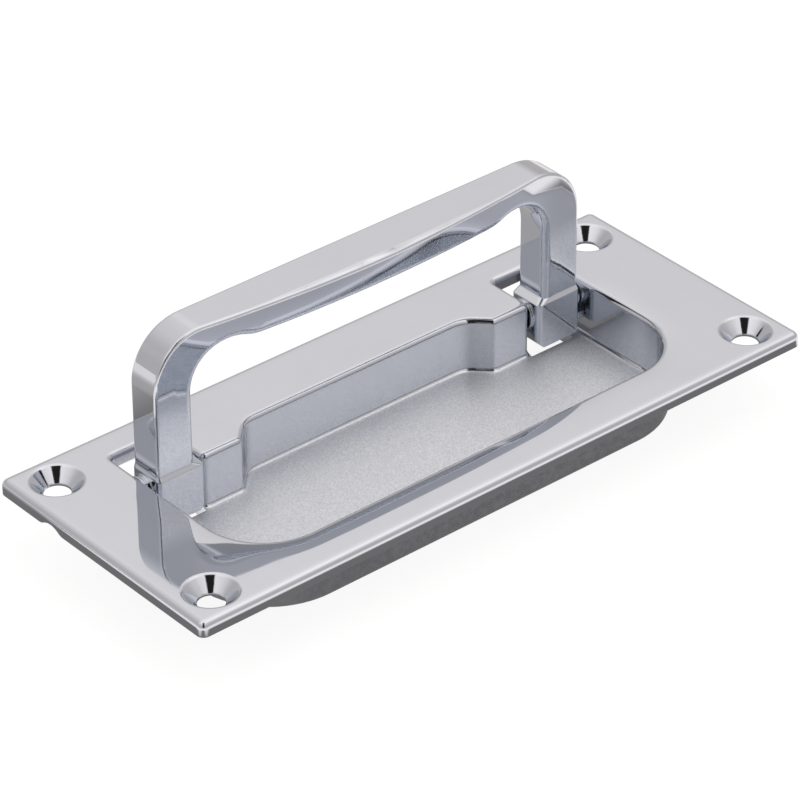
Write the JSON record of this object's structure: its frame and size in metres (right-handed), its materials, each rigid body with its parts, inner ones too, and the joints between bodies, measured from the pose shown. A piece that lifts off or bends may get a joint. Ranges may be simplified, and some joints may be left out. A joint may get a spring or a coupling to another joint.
{
  "type": "flush folding handle",
  "caption": "Recessed handle: a bail that folds level into a chromed dish plate, fixed by countersunk screws at its corners.",
  "frame": {"origin": "centre of the four screw holes, on the underside of the flange, which is the face that lies on the panel", "axes": "+X along the plate's long side and the pivot line, +Y from the grip's folded place towards the finger room and the pivots, +Z out of the panel"},
  "size_m": [0.15, 0.0616, 0.0442],
  "materials": {
    "chromed_zinc": "polished chrome plate on die-cast zinc, with a satin dish",
    "chromed_zinc_bail": "polished chrome plate on die-cast zinc",
    "steel_pin": "plain ground steel"
  },
  "bodies": {
    "dish": {"base_plate": "chromed_zinc", "pivot_pin_left": "steel_pin", "pivot_pin_right": "steel_pin"},
    "bail": {"bail_handle": "chromed_zinc_bail"}
  },
  "joints": [
    {"name": "bail_fold", "type": "hinge", "parent": "dish", "child": "bail", "pos_m": [0, 0.0146, -0.0008], "axis": [1, 0, 0], "range_deg": [0, 90]}
  ]
}
